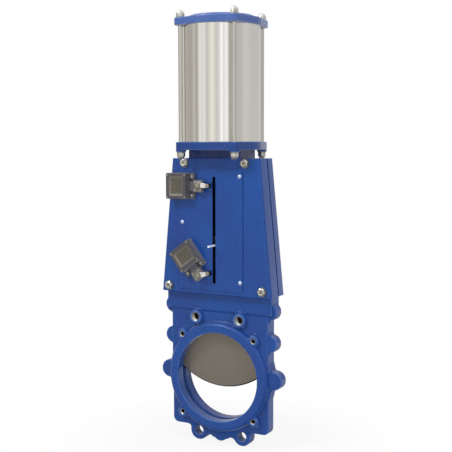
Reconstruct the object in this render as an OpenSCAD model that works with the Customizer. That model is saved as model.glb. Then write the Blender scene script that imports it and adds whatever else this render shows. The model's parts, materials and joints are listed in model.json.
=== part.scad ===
// Slide gate valve: wafer body, pneumatic cylinder, yoke of two folded plates and two roller switches.
// The origin is the centre of the bore, X across, Y along the pipe with the front at -Y, Z up.

/* [Valve body] */
// Diameter of the flow bore
bore_d = 206; // [190:1:210]
// Length between the two gasket faces
face_to_face = 60; // [56:1:70]
// Outer diameter of the raised gasket ring
ring_d = 253; // [250:1:256]
// Chamfer round the gasket ring
ring_chamfer = 5; // [3:0.5:6]
// Thickness of the web above the bore
web_t = 34; // [30:1:38]
// Thickness of the web below the bore
low_web_t = 28; // [24:1:30]
// Width across the straight side walls
web_w = 250; // [244:1:256]
// Diameter of the round bulge of the web
bulge_d = 264; // [256:1:268]
// Depth of the flat bottom edge under the bore centre
bottom_z = 124; // [120:1:128]
// Thickness of the lobes and lugs
lobe_t = 25; // [20:1:27]
// Radius of the side lobes
lobe_r = 20; // [16:1:22]
// Height of the middle side lobe
lobe_mid_z = 86; // [82:1:90]
// Height of the upper side lobe
lobe_top_z = 159; // [155:1:163]
// Distance of the lobe at bore height from the centre
ear_x = 136; // [133:1:140]
// Height of the lobe at bore height
ear_z = 3; // [0:1:6]
// Radius of the lobe at bore height
ear_r = 21; // [18:1:22]
// Radius of the cast fillets round the outline
cast_r = 8; // [5:1:9]
// Radius of the bottom corners
corner_r = 13; // [8:1:16]

/* [Flange pattern] */
// Bolt circle of the pipe flange
bolt_pcd = 295; // [290:1:300]
// Thread of the two tapped holes at the top
tapped_d = 20; // [16:1:20]
// Diameter of the two through holes in the lower lugs
lug_hole_d = 22; // [20:1:24]
// Radius of the lower lugs
lug_r = 22; // [20:1:23]
// Radius of the bosses of the upper tapped holes
boss_r = 17; // [15:1:18]
// Bolt circle of the four small tapped holes
small_pcd = 261; // [255:1:265]
// Thread of the small tapped holes
small_d = 12; // [10:1:12]
// Radius of the bosses of the small tapped holes
small_boss_r = 13.5; // [11:0.5:14]
// Depth of the tapped holes beside the gate, since those below it run right through
tapped_depth = 18; // [14:1:19]

/* [Neck and stuffing box] */
// Width of the neck block
neck_w = 270; // [266:1:274]
// Thickness of the neck block
neck_t = 40; // [38:1:44]
// Height at which the neck block starts
neck_z = 152; // [149:1:156]
// Height of the top face of the body
body_top = 204; // [202:1:208]
// Thickness of the body between the yoke plates
seat_t = 62; // [60:1:66]
// Height of the stuffing box floor
box_floor = 168; // [166:1:171]
// Section of the packing
pack_s = 10; // [9:0.5:11]
// Rings of packing
pack_n = 3; // [2:1:3]
// Thickness of the gland flange
gland_t = 6; // [5:1:8]

/* [Gate and stroke] */
// How far the gate laps over the bore on each side
gate_lap = 10; // [8:0.5:11]
// Thickness of the gate
gate_t = 8; // [6:1:9]
// Radius of the gate's round lower edge
gate_r = 165; // [140:1:200]
// Width of the knife edge along the gate's round edge
knife = 3; // [2:0.5:5]
// Overlap of the closed gate under the bore
seat_lap = 3; // [2:0.5:4]
// How far the gate stands above its closed place at rest
rest_lift = 79.4; // [60:0.2:120]
// Height of the clevis
clevis_h = 46; // [44:1:52]
// Diameter of the trip pin
pin_d = 4.5; // [4:0.1:6]
// Distance of the trip pin's tip from the gate
pin_reach = 66; // [60:1:72]

/* [Yoke] */
// Thickness of the yoke plates
sheet_t = 5; // [4:0.5:6]
// Height of the plates' lower edge
plate_z = 194; // [192:1:196]
// Half width of the plates at their lower edge
plate_low = 141.5; // [139:0.5:144]
// Half width of the plates at their upper edge
plate_top = 112; // [107:0.5:114]
// Outer bend radius of the plates
bend_r = 7.5; // [6.5:0.5:9]
// Where the front plate's folded sides end
front_fold = 2; // [-2:0.5:3]
// Gap between the folded sides
fold_gap = 4.5; // [3:0.5:6]
// Width of the slot of the trip pin
slot_w = 7.5; // [7:0.1:9]
// Thickness of the front guard
guard_t = 2.5; // [2:0.5:3]
// Thickness of the cross block that joins the plates
cross_t = 21; // [20:1:25]
// Height of the neck under the cylinder
post_h = 19; // [17:1:24]
// Half width of that neck
post_w = 66; // [60:1:68]

/* [Cylinder] */
// Bore of the cylinder
cyl_bore = 160; // [150:1:162]
// Wall of the barrel
barrel_wall = 8.5; // [6:0.5:8.5]
// Half spacing of the tie rods
rod_xy = 67.7; // [66:0.1:70]
// Diameter of the tie rods
tie_d = 10; // [8:1:10]
// Thickness of the lower head
low_head_t = 18; // [17:0.5:24]
// Thickness of the upper head
up_head_t = 16.4; // [16:0.2:22]
// Radius of the heads' round rim
head_r = 93; // [91:0.5:96]
// Radius of the ears of the upper head
up_ear_r = 13.5; // [11:0.5:14]
// Radius of the ears of the lower head
low_ear_r = 11.5; // [11:0.5:13]
// Radius of the raised crown on the upper head
crown_r = 75; // [70:1:80]
// Height of the crown
crown_h = 6.6; // [4:0.2:9]
// Diameter of the piston rod
rod_d = 32; // [28:1:34]
// Thickness of the piston
piston_t = 30; // [30:1:36]
// Thread of the air ports
port_d = 13.2; // [10:0.1:13.2]

/* [Switches] */
// Width of the switch box
case_w = 54; // [50:1:56]
// Height of the switch box
case_h = 59; // [55:1:62]
// Depth of the switch box with its cover
case_d = 20; // [19:0.5:22]
// Distance from the edge of the box to the lever's pivot
pivot_reach = 28; // [27:0.5:30]
// Length of the roller lever
lever_len = 23.5; // [22:0.5:26]
// Radius of the roller
roller_r = 6; // [4:0.1:7]
// Width of the roller
roller_w = 7; // [6:0.2:7.2]
// Tilt of the upper lever
up_lever_a = -5; // [-15:1:5]
// Tilt of the lower lever
low_lever_a = 12; // [5:1:20]
// Turn of the lower switch
low_turn = 53; // [45:1:58]
// Height of the upper roller over the open end of the stroke
up_trip = 4.7; // [3:0.1:12]
// Height of the lower roller over the closed end of the stroke
low_trip = 17; // [15:0.1:25]

/* [Hidden] */
$fn = 72;

// Small named clearances
eps = 0.01;
thread_gap = 0.05;
bolt_gap = 0.5;
slide_gap = 0.4;
rest_gap = 0.3;
// How far cutting forms run past the material
over = 20;

// Body
bore_r = bore_d/2;
ring_r = ring_d/2;
face_y = face_to_face/2;
boss_y = face_y - 2;
boss_chamfer = 3;
cast_draft = 4;
bolt_x = bolt_pcd/2*sin(22.5);
bolt_z = bolt_pcd/2*cos(22.5);
small_xz = small_pcd/2*sin(45);
wall_x = web_w/2;
web_z0 = 0.39*bore_r;
bulge_r = bulge_d/2;
mid_r = 20;
mid_z = 134;
wave_r = 11;
pad_x0 = 104;
pad_x1 = plate_low - sheet_t - 4;
pad_top = body_top + 18;
pack_x = bore_r + gate_lap + pack_s;
pack_y = gate_t/2 + pack_s;
pocket_gap = 1.2;
pocket_side = 2;
pocket_y = gate_t/2 + pocket_gap;
pocket_low = 4;

// Seat
seat_or = bore_r + 9;
seat_y = pocket_y + 0.8;
groove_r0 = bore_r + 2;
groove_r1 = seat_or - 2.3;
groove_d = 6;

// Gate, clevis and stroke
gate_w = bore_d + 2*gate_lap;
stroke = bore_d + seat_lap + 1;
open_lift = stroke - rest_lift;
gate_z = -(bore_r + seat_lap) + rest_lift;
gate_taper = 45;
gate_side_z = gate_z + gate_r - sqrt(gate_r*gate_r - gate_w*gate_w/4);
gland_head = 5.3;
gland_in = 5;
gland_rim = 6.5;
gland_grip = 8;
clevis_gap = 4.3;
cross_gap = 5.4;
gland_top = body_top + gland_t + gland_head;
clevis_z = gland_top + rest_lift + clevis_gap;
clevis_leg = 10;
clevis_w = 60;
clevis_top = clevis_z + clevis_h;
gate_grip = 27;
gate_top = clevis_z + gate_grip;
clevis_bolt_x = 17;
clevis_bolt_z = clevis_z + 17;
clevis_bolt_d = 10;
pin_z = clevis_z + 6.3;
pin_r = pin_d/2;
leg_y = gate_t/2 + thread_gap + clevis_leg;
stub_d = 20;
lock_nut_t = 9;

// Yoke
plate_y = seat_t/2 + sheet_t;
cross_z = clevis_top + open_lift + cross_gap;
cross_w = 100;
plate_h = cross_z + cross_t - plate_z;
yoke_top = plate_z + plate_h;
fold_tilt = atan((plate_low - plate_top)/plate_h);
rear_fold = front_fold + fold_gap;
flat_in = plate_low + over;
low_bolt = [120, plate_z + 13.5];
top_bolt = [77.3, yoke_top - 10.5];
plate_bolt_d = 10;
plate_bolt_grip = 14;
washer_t = 2;
guard_x0 = -93;
guard_x1 = 72;
guard_z0 = plate_z + 9;
guard_drop = 26;
guard_z1 = yoke_top - guard_drop;
guard_y = plate_y + guard_t;
guard_in = [7, 10, 6];
guard_rise = [-13.5, 153.4, 21.4];
guard_points = [[guard_x1 - guard_in[0], guard_z1 + guard_rise[0]], [guard_x0 + guard_in[1], guard_z0 + guard_rise[1]],
    [guard_x1 - guard_in[2], guard_z0 + guard_rise[2]]];
guard_screw_d = 6;
guard_head_r = 0.75*guard_screw_d;
guard_head_h = 0.45*guard_screw_d;
slot_spare = [7.4, 25.4];
slot_z0 = pin_z - rest_lift - slot_spare[0];
slot_z1 = pin_z + open_lift + slot_spare[1];

// Cylinder
post_z = yoke_top;
low_head_z = post_z + post_h;
barrel_z = low_head_z + low_head_t;
spigot_h = 8;
end_gap = 1;
cyl_r = cyl_bore/2;
barrel_r = cyl_r + barrel_wall;
barrel_h = 2*spigot_h + piston_t + stroke + 2*end_gap;
up_head_z = barrel_z + barrel_h;
up_head_top = up_head_z + up_head_t;
spigot_r = cyl_r - 0.2;
tie_r = tie_d/2;
tie_washer_t = 1.6;
tie_washer_r = tie_d;
ear_drop = 4.5;
nut_h = 16;
nut_hex_h = 9;
nut_af = 1.7*tie_d;
tie_grip = 11;
rod_r = rod_d/2;
piston_z = barrel_z + spigot_h + end_gap + rest_lift;
piston_r = cyl_r - 0.2;
piston_stub_r = 12;
piston_recess = 12;
screw_x = 45;
screw_y = 20;
screw_d = 10;
port_y = cyl_r - 8;

// Switches
switch_y = guard_y;
bracket_t = 2;
case_y = switch_y + bracket_t;
cover_t = 6.5;
panel_rim = [26, 24];
head_size = [23, 27];
head_foot = 12.5;
body_d = case_d - cover_t;
head_y0 = case_y + 0.5;
head_y1 = head_y0 + 11;
lever_y = head_y1 + 1;
lever_t = 3;
pivot_u = case_w/2 + pivot_reach;
pivot_v = 3.4;
shaft_r = 4;
roller_pin_r = 1.5;
roller_x = -(pin_r + rest_gap + roller_r);
up_roller = [roller_x, pin_z + open_lift + up_trip];
low_roller = [roller_x, pin_z - rest_lift + low_trip];
up_pivot = up_roller - lever_len*[cos(up_lever_a), sin(up_lever_a)];
low_pivot = low_roller - lever_len*[cos(low_lever_a), sin(low_lever_a)];
up_case = up_pivot - [pivot_u, pivot_v];
low_case = low_pivot - turned([pivot_u, pivot_v], low_turn);
mount_u = case_w/2 + 7.5;
mount_v = 21.5;
mount_d = 5;

function turned(p, a) = [p[0]*cos(a) + p[1]*sin(a), p[1]*cos(a) - p[0]*sin(a)];

// Colours
blue = [0.15, 0.31, 0.62];
steel = [0.72, 0.72, 0.70];
plate_grey = [0.52, 0.50, 0.46];
alu = [0.80, 0.80, 0.78];
rubber = [0.10, 0.10, 0.11];
bronze = [0.66, 0.50, 0.28];
case_grey = [0.40, 0.39, 0.36];
white_zinc = [0.86, 0.88, 0.92];

// Extrudes a profile drawn in X and Z from y0 to y1
module along_y(y0, y1) {
    translate([0, y1, 0]) rotate([90, 0, 0]) linear_extrude(y1 - y0) children();
}

module rod_y(x, z, y0, y1, r) {
    translate([x, y1, z]) rotate([90, 0, 0]) cylinder(r = r, h = y1 - y0);
}

module hex_y(x, z, y0, y1, af) {
    translate([x, y1, z]) rotate([90, 0, 0]) cylinder(r = af/2/cos(30), h = y1 - y0, $fn = 6);
}

module box(x0, x1, y0, y1, z0, z1) {
    translate([x0, y0, z0]) cube([x1 - x0, y1 - y0, z1 - z0]);
}

// Rectangle with round corners, drawn about its middle
module round_rect(w, h, r) {
    square([w - 2*r, h], center = true);
    square([w, h - 2*r], center = true);
    for (x = [-1, 1], y = [-1, 1]) translate([x*(w/2 - r), y*(h/2 - r)]) circle(r);
}

// Rounded bar between two circles. Its straight sides run a hair inside the tangent lines
module link(p, r0, q, r1) {
    a = acos((r0 - r1)/norm(q - p));
    t = atan2(q[1] - p[1], q[0] - p[0]);
    k0 = r0 - 2*eps;
    k1 = r1 - 2*eps;
    translate(p) circle(r0);
    translate(q) circle(r1);
    polygon([p + k0*[cos(t + a), sin(t + a)], p + k0*[cos(t - a), sin(t - a)],
        q + k1*[cos(t - a), sin(t - a)], q + k1*[cos(t + a), sin(t + a)]]);
}

// Concave fillet between a lobe centred at c and a wall that it touches at w
module cast_fillet(c, w, f, r) {
    difference() {
        polygon([c, w, f]);
        translate(f) circle(r);
    }
}

// Lobe on the straight side wall, with its fillets
module wall_lobe(zc) {
    h = sqrt(pow(lobe_r + cast_r, 2) - cast_r*cast_r);
    translate([wall_x, zc]) circle(lobe_r);
    for (s = [-1, 1]) cast_fillet([wall_x, zc], [wall_x, zc + s*h], [wall_x + cast_r, zc + s*h], cast_r);
}

// Lobe on the round bulge, at bore height
module ear_lobe() {
    c = [ear_x, ear_z];
    d = norm(c);
    o = bulge_r + cast_r;
    a = acos((d*d + o*o - pow(ear_r + cast_r, 2))/(2*d*o));
    t = atan2(ear_z, ear_x);
    translate(c) circle(ear_r);
    for (s = [-1, 1]) cast_fillet(c, bulge_r*[cos(t + s*a), sin(t + s*a)], o*[cos(t + s*a), sin(t + s*a)], cast_r);
}

// Lower lug on the flange bolt circle, with the fillet to the flat bottom edge
module lower_lug() {
    dz = bolt_z - bottom_z - cast_r;
    fx = bolt_x + sqrt(pow(lug_r + cast_r, 2) - dz*dz);
    translate([bolt_x, -bolt_z]) circle(lug_r);
    cast_fillet([bolt_x, -bolt_z], [fx, -bottom_z], [fx, -bottom_z - cast_r], cast_r);
    polygon([[bolt_x, -bolt_z], [fx, -bottom_z], [0, -bottom_z]]);
}

module lobes_outline() {
    for (s = [0, 1]) mirror([s, 0]) {
        wall_lobe(lobe_mid_z);
        wall_lobe(lobe_top_z);
        ear_lobe();
        lower_lug();
    }
    translate([0, -mid_z]) circle(mid_r);
    difference() {
        translate([-bolt_x, -bolt_z - 11]) square([2*bolt_x, bolt_z]);
        for (s = [-1, 1]) translate([s*bolt_x/2, -bolt_z - 17.5]) circle(wave_r);
    }
    low_web_outline();
}

module low_web_outline() {
    translate([-wall_x, corner_r - bottom_z]) square([2*wall_x, bottom_z]);
    translate([corner_r - wall_x, -bottom_z]) square([2*(wall_x - corner_r), bottom_z]);
    for (s = [-1, 1]) translate([s*(wall_x - corner_r), corner_r - bottom_z]) circle(corner_r);
    circle(bulge_r);
}

// Round boss or ring that stands on the web, with cast taper and a chamfer at its face
module cast_boss(x, z, r, y, chamfer) {
    for (s = [0, 1]) mirror([0, s, 0]) translate([x, 0, z]) rotate([90, 0, 0]) {
        cylinder(r1 = r + cast_draft, r2 = r, h = y - chamfer);
        translate([0, 0, y - chamfer - eps]) cylinder(r1 = r, r2 = r - chamfer, h = chamfer + eps);
    }
}

// Gate outline from its round lower edge at z0 up to z1
module gate_outline(z0, z1, grow) {
    w = gate_w/2 + grow;
    r = gate_r + grow;
    z = z0 + gate_r - sqrt(r*r - w*w);
    intersection() {
        translate([0, z0 + gate_r]) circle(r);
        translate([-w, z0 - grow]) square([2*w, gate_r]);
    }
    translate([-w, z]) square([2*w, z1 - z]);
}

// The body casting, solid
module body_form() {
    along_y(-low_web_t/2, low_web_t/2) low_web_outline();
    along_y(-lobe_t/2, lobe_t/2) lobes_outline();
    box(-wall_x, wall_x, -web_t/2, web_t/2, web_z0, neck_z + 1);
    along_y(-web_t/2, web_t/2) intersection() {
        circle(bulge_r);
        translate([-bulge_r, 20]) square([2*bulge_r, bulge_r]);
    }
    cast_boss(0, 0, ring_r, face_y, ring_chamfer);
    for (x = [-1, 1]) {
        cast_boss(x*bolt_x, bolt_z, boss_r, boss_y, boss_chamfer);
        for (z = [-1, 1]) cast_boss(x*small_xz, z*small_xz, small_boss_r, boss_y, boss_chamfer);
    }
    box(-neck_w/2, neck_w/2, -neck_t/2, neck_t/2, neck_z, plate_z - rest_gap);
    box(-pad_x1, pad_x1, -seat_t/2, seat_t/2, plate_z - 1, body_top);
    for (s = [-1, 1], t = [-1, 1]) scale([s, t, 1])
        box(pad_x0, pad_x1, pack_y + 1, seat_t/2, body_top - 1, pad_top);
}

module valve_body() {
    color(blue) difference() {
        body_form();
        rod_y(0, 0, -face_y - 1, face_y + 1, bore_r);
        rod_y(0, 0, pocket_y - eps, face_y + 1, seat_or);
        along_y(-pocket_y, pocket_y) gate_outline(gate_z - rest_lift - pocket_low, box_floor - 8, pocket_side);
        box(-gate_w/2 - slide_gap, gate_w/2 + slide_gap, -gate_t/2 - slide_gap, gate_t/2 + slide_gap,
            0, box_floor + 1);
        box(-pack_x, pack_x, -pack_y, pack_y, box_floor, body_top + 1);
        for (s = [0, 1]) mirror([s, 0, 0]) guide_recess();
        for (s = [-1, 1], x = [-1, 1]) scale([1, s, 1]) {
            rod_y(x*bolt_x, bolt_z, -boss_y - 1, tapped_depth - boss_y, tapped_d/2);
            rod_y(x*small_xz, small_xz, -boss_y - 1, tapped_depth - boss_y, small_d/2);
            rod_y(x*low_bolt[0], low_bolt[1], -seat_t/2 - 1, plate_bolt_grip + 1 - seat_t/2,
                plate_bolt_d/2 + thread_gap);
            for (g = gland_x) translate([x*g, gland_y, body_top - gland_grip - 1])
                cylinder(r = gland_d/2 + thread_gap, h = gland_grip + 2);
        }
        for (x = [-1, 1]) {
            rod_y(x*bolt_x, -bolt_z, -face_y, face_y, lug_hole_d/2);
            rod_y(x*small_xz, -small_xz, -face_y, face_y, small_d/2);
        }
    }
}

// Seat seal in its retaining ring, on the rear side of the gate
module seat_seal() {
    color(rubber) difference() {
        rod_y(0, 0, gate_t/2 + rest_gap, seat_y + groove_d, groove_r1 - thread_gap);
        rod_y(0, 0, 0, face_y, groove_r0 + thread_gap);
    }
}

module seat_retainer() {
    color(steel) difference() {
        rod_y(0, 0, seat_y, face_y - rest_gap, seat_or - rest_gap);
        rod_y(0, 0, 0, face_y + 1, bore_r);
        difference() {
            rod_y(0, 0, seat_y - 1, seat_y + groove_d, groove_r1);
            rod_y(0, 0, seat_y - 2, seat_y + groove_d + 1, groove_r0);
        }
    }
}

// Guide strips that steady the gate in front, let into the casting
guide_x = gate_w/2 - 15;
guide_w = 20;
guide_z0 = 112;
guide_z1 = 154;
guide_depth = 5;

module guide_recess() {
    box(guide_x - guide_w/2, guide_x + guide_w/2, -pocket_y - guide_depth, 0, guide_z0, guide_z1);
}

module gate_guides() {
    color("white") for (s = [0, 1]) mirror([s, 0, 0])
        box(guide_x - guide_w/2 + thread_gap, guide_x + guide_w/2 - thread_gap,
            -pocket_y - guide_depth, -gate_t/2 - rest_gap, guide_z0 + thread_gap, guide_z1 - thread_gap);
}

// Braided packing rings round the gate
pack_h = (body_top - gland_in - box_floor)/pack_n;

module gate_ring(x, y, z0, z1) {
    difference() {
        box(-x, x, -y, y, z0, z1);
        box(-gate_w/2 - rest_gap, gate_w/2 + rest_gap, -gate_t/2 - rest_gap, gate_t/2 + rest_gap, z0 - 1, z1 + 1);
    }
}

module packing() {
    color([0.75, 0.72, 0.62]) for (i = [0:pack_n - 1])
        gate_ring(pack_x - rest_gap, pack_y - rest_gap, box_floor + i*pack_h, box_floor + (i + 1)*pack_h - 0.2);
}

gland_d = 8;
gland_x = [38, 85];
gland_y = pack_y + 7.5;
gland_af = 13;

module packing_gland() {
    color(blue) difference() {
        union() {
            gate_ring(pack_x - rest_gap, pack_y - rest_gap, body_top - gland_in, body_top + gland_t);
            difference() {
                box(-pad_x0 + 2, pad_x0 - 2, -gland_y - gland_rim, gland_y + gland_rim, body_top, body_top + gland_t);
                box(-pad_x0, pad_x0, -pack_y + 1, pack_y - 1, body_top - 1, body_top + gland_t + 1);
            }
        }
        for (s = [-1, 1], g = gland_x, t = [-1, 1])
            translate([s*g, t*gland_y, body_top - 1]) cylinder(r = gland_d/2 + bolt_gap, h = gland_t + 2);
    }
}

module gland_screws() {
    color(steel) for (s = [-1, 1], g = gland_x, t = [-1, 1]) translate([s*g, t*gland_y, 0]) {
        translate([0, 0, body_top - gland_grip]) cylinder(r = gland_d/2, h = gland_grip + gland_t + 1);
        translate([0, 0, body_top + gland_t]) cylinder(r = gland_af/2/cos(30), h = gland_head, $fn = 6);
    }
}

// Half of a plate with its folded side: an L section run along the sloping edge, past the middle
module folded_side(reach) {
    translate([plate_low, 0, plate_z]) rotate([0, -fold_tilt, 0]) translate([0, 0, -over])
        linear_extrude(plate_h + 2*over) {
            translate([-sheet_t, -reach]) square([sheet_t, reach - bend_r]);
            translate([-flat_in, -sheet_t]) square([flat_in - bend_r, sheet_t]);
            translate([-bend_r, -bend_r]) intersection() {
                difference() {
                    circle(bend_r);
                    circle(bend_r - sheet_t);
                }
                square(bend_r);
            }
        }
}

// Support plate with its two folded sides, its flat face towards +Y
module folded_plate(reach) {
    intersection() {
        union() for (s = [0, 1]) mirror([s, 0, 0]) folded_side(reach);
        box(-plate_low - over, plate_low + over, -2*plate_y, over, plate_z, yoke_top);
    }
}

module plate_bolt_holes() {
    for (x = [-1, 1], p = [low_bolt, top_bolt]) rod_y(x*p[0], p[1], -plate_y - 1, plate_y + 1, plate_bolt_d/2 + bolt_gap);
}

module trip_slot(y0, y1) {
    along_y(y0, y1) {
        for (z = [slot_z0 + slot_w/2, slot_z1 - slot_w/2]) translate([0, z]) circle(slot_w/2);
        translate([-slot_w/2, slot_z0 + slot_w/2]) square([slot_w, slot_z1 - slot_z0 - slot_w]);
    }
}

module front_support_plate() {
    color(blue) difference() {
        translate([0, -plate_y, 0]) mirror([0, 1, 0]) folded_plate(plate_y + front_fold);
        plate_bolt_holes();
        trip_slot(-plate_y - 1, 0);
        for (p = guard_points) rod_y(p[0], p[1], -plate_y - 1, -plate_y + sheet_t + 1, guard_screw_d/2 + thread_gap);
        mount_holes(mount_d/2 + thread_gap, -plate_y - 1, -plate_y + sheet_t + 1);
    }
}

module rear_support_plate() {
    color(blue) difference() {
        translate([0, plate_y, 0]) folded_plate(plate_y - rear_fold);
        plate_bolt_holes();
    }
}

plate_bolt_head = 6.4;
plate_bolt_af = 17;

module support_plate_bolts() {
    color(steel) for (x = [-1, 1], s = [-1, 1], p = [low_bolt, top_bolt]) scale([1, s, 1]) {
        rod_y(x*p[0], p[1], -plate_y - washer_t - 1, plate_bolt_grip - seat_t/2, plate_bolt_d/2);
        hex_y(x*p[0], p[1], -plate_y - washer_t - plate_bolt_head, -plate_y - washer_t, plate_bolt_af);
    }
}

module support_plate_washers() {
    color(steel) for (x = [-1, 1], s = [-1, 1], p = [low_bolt, top_bolt]) scale([1, s, 1]) difference() {
        rod_y(x*p[0], p[1], -plate_y - washer_t, -plate_y, plate_bolt_d*1.05);
        rod_y(x*p[0], p[1], -plate_y - washer_t - 1, -plate_y + 1, plate_bolt_d/2 + bolt_gap);
    }
}

// Thin guard on the front plate, which carries the switches
module front_guard() {
    color(blue) difference() {
        along_y(-guard_y, -plate_y) translate([(guard_x0 + guard_x1)/2, (guard_z0 + guard_z1)/2])
            round_rect(guard_x1 - guard_x0, guard_z1 - guard_z0, 4);
        trip_slot(-guard_y - 1, -plate_y + 1);
        for (p = guard_points) rod_y(p[0], p[1], -guard_y - 1, -plate_y + 1, guard_screw_d/2 + bolt_gap);
        mount_holes(mount_d/2 + bolt_gap, -guard_y - 1, -plate_y + 1);
    }
}

module guard_screws() {
    color(white_zinc) for (p = guard_points) {
        rod_y(p[0], p[1], -guard_y - 1, -plate_y + sheet_t, guard_screw_d/2);
        intersection() {
            rod_y(p[0], p[1], -guard_y - guard_head_h, -guard_y, guard_head_r);
            translate([p[0], guard_screw_d - guard_head_h - guard_y, p[1]]) sphere(guard_screw_d);
        }
    }
}

// Block that joins the plates at the top and carries the cylinder on its neck
module cross_block() {
    color(blue) difference() {
        union() {
            box(-cross_w, cross_w, -seat_t/2, seat_t/2, cross_z, yoke_top);
            box(-post_w, post_w, -plate_y, plate_y, yoke_top - eps, low_head_z);
        }
        translate([0, 0, cross_z - 1]) cylinder(r = rod_r + 6, h = cross_t + post_h + 2);
        for (x = [-1, 1], y = [-1, 1]) translate([x*screw_x, y*screw_y, 0]) {
            translate([0, 0, cross_z - 1]) cylinder(r = screw_d/2 + bolt_gap, h = cross_t + post_h + 2);
            translate([0, 0, cross_z - 1]) cylinder(r = screw_d*0.85, h = screw_d + 2);
        }
        for (x = [-1, 1], s = [-1, 1]) scale([1, s, 1])
            rod_y(x*top_bolt[0], top_bolt[1], -seat_t/2 - 1, plate_bolt_grip + 1 - seat_t/2, plate_bolt_d/2 + thread_gap);
        along_y(-plate_y - 1, -plate_y + 2) translate([-13, low_head_z - 5.6]) round_rect(22, 6, 2.9);
    }
}

module cylinder_screws() {
    color(steel) for (x = [-1, 1], y = [-1, 1]) translate([x*screw_x, y*screw_y, cross_z + 1]) {
        cylinder(r = screw_d/2, h = cross_t + post_h + 10);
        difference() {
            cylinder(r = screw_d*0.8, h = screw_d);
            translate([0, 0, -1]) cylinder(r = 4.6, h = 6, $fn = 6);
        }
    }
}

// Outline of a cylinder head: a round rim with four ears round the tie rods
module head_outline(er) {
    d = rod_xy*sqrt(2);
    for (a = [45:90:315]) link([0, 0], head_r, d*[cos(a), sin(a)], er);
}

module at_tie_rods() {
    for (x = [-1, 1], y = [-1, 1]) translate([x*rod_xy, y*rod_xy, 0]) children();
}

module air_port(z, z0, z1) {
    rod_y(0, z, port_y - 5, head_r + 10, port_d/2);
    box(-11, 11, head_r - 2, head_r + 10, z - 20, z + 20);
    translate([0, port_y, z0]) cylinder(r = 4, h = z1 - z0);
}

seal_h = 7;
wiper_h = 4;
seal_r = rod_r + 6;
bush_r = rod_r + 4;
bush_z = low_head_z + wiper_h + seal_h;
bush_h = low_head_t + spigot_h - wiper_h - seal_h;

module spigot(z) {
    translate([0, 0, z]) cylinder(r = spigot_r, h = spigot_h);
}

// Groove and ring of the seal between a spigot and the barrel
ring_s = 3.5;

module spigot_ring(z, gap) {
    translate([0, 0, z - ring_s/2 - gap]) difference() {
        cylinder(r = cyl_r + (gap > 0 ? 5 : -thread_gap), h = ring_s + 2*gap);
        translate([0, 0, -1]) cylinder(r = spigot_r - ring_s + 0.5 - gap, h = ring_s + 2 + 2*gap);
    }
}

module lower_head() {
    color(blue) difference() {
        union() {
            translate([0, 0, low_head_z]) linear_extrude(low_head_t) head_outline(low_ear_r);
            spigot(barrel_z - eps);
            at_tie_rods() translate([0, 0, low_head_z - ear_drop]) cylinder(r = low_ear_r, h = ear_drop + 1);
        }
        spigot_ring(barrel_z + spigot_h/2, thread_gap);
        translate([0, 0, low_head_z - 1]) cylinder(r = rod_r + bolt_gap, h = low_head_t + spigot_h + over);
        translate([0, 0, low_head_z - 1]) cylinder(r = seal_r, h = wiper_h + seal_h + 1);
        translate([0, 0, bush_z]) cylinder(r = bush_r, h = bush_h + 1);
        at_tie_rods() translate([0, 0, low_head_z - over]) cylinder(r = tie_r + bolt_gap, h = low_head_t + 2*over);
        for (x = [-1, 1], y = [-1, 1]) translate([x*screw_x, y*screw_y, low_head_z - 1])
            cylinder(r = screw_d/2 + thread_gap, h = 14);
        air_port(low_head_z + low_head_t/2, low_head_z + low_head_t/2, barrel_z + spigot_h + 1);
    }
}

module rod_ring(r, z, h, gap) {
    translate([0, 0, z]) difference() {
        cylinder(r = r, h = h);
        translate([0, 0, -1]) cylinder(r = rod_r + gap, h = h + 2);
    }
}

module rod_bush() {
    color(bronze) rod_ring(bush_r - thread_gap, bush_z, bush_h, 0.03);
}

module rod_seal() {
    color(rubber) rod_ring(seal_r - thread_gap, low_head_z + wiper_h, seal_h - thread_gap, 0.05);
}

module rod_wiper() {
    color(rubber) rod_ring(seal_r - thread_gap, low_head_z, wiper_h - thread_gap, 0.05);
}

module barrel() {
    color(alu) translate([0, 0, barrel_z]) difference() {
        cylinder(r = barrel_r, h = barrel_h);
        translate([0, 0, -1]) cylinder(r = cyl_r, h = barrel_h + 2);
    }
}

module barrel_seals() {
    color(rubber) for (z = [barrel_z + spigot_h/2, up_head_z - spigot_h/2]) spigot_ring(z, 0);
}

module upper_head() {
    color(blue) difference() {
        union() {
            translate([0, 0, up_head_z]) linear_extrude(up_head_t) head_outline(up_ear_r);
            spigot(up_head_z - spigot_h + eps);
            translate([0, 0, up_head_top - eps]) cylinder(r = crown_r, h = crown_h - 1.6);
            translate([0, 0, up_head_top + crown_h - 1.6 - 2*eps]) cylinder(r1 = crown_r, r2 = crown_r - 2.4, h = 1.6);
        }
        spigot_ring(up_head_z - spigot_h/2, thread_gap);
        at_tie_rods() translate([0, 0, up_head_z - over]) cylinder(r = tie_r + bolt_gap, h = up_head_t + 2*over);
        air_port(up_head_z + up_head_t/2, up_head_z - spigot_h - 1, up_head_z + up_head_t/2);
    }
}

tie_z0 = low_head_z - ear_drop - tie_washer_t - tie_grip;
tie_z1 = up_head_top + tie_washer_t + tie_grip;

module tie_rods() {
    color(steel) at_tie_rods() translate([0, 0, tie_z0]) cylinder(r = tie_r, h = tie_z1 - tie_z0);
}

module tie_rod_washers() {
    color(steel) at_tie_rods() for (z = [low_head_z - ear_drop - tie_washer_t, up_head_top])
        translate([0, 0, z]) difference() {
            cylinder(r = tie_washer_r, h = tie_washer_t);
            translate([0, 0, -1]) cylinder(r = tie_r + bolt_gap/2, h = tie_washer_t + 2);
        }
}

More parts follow.
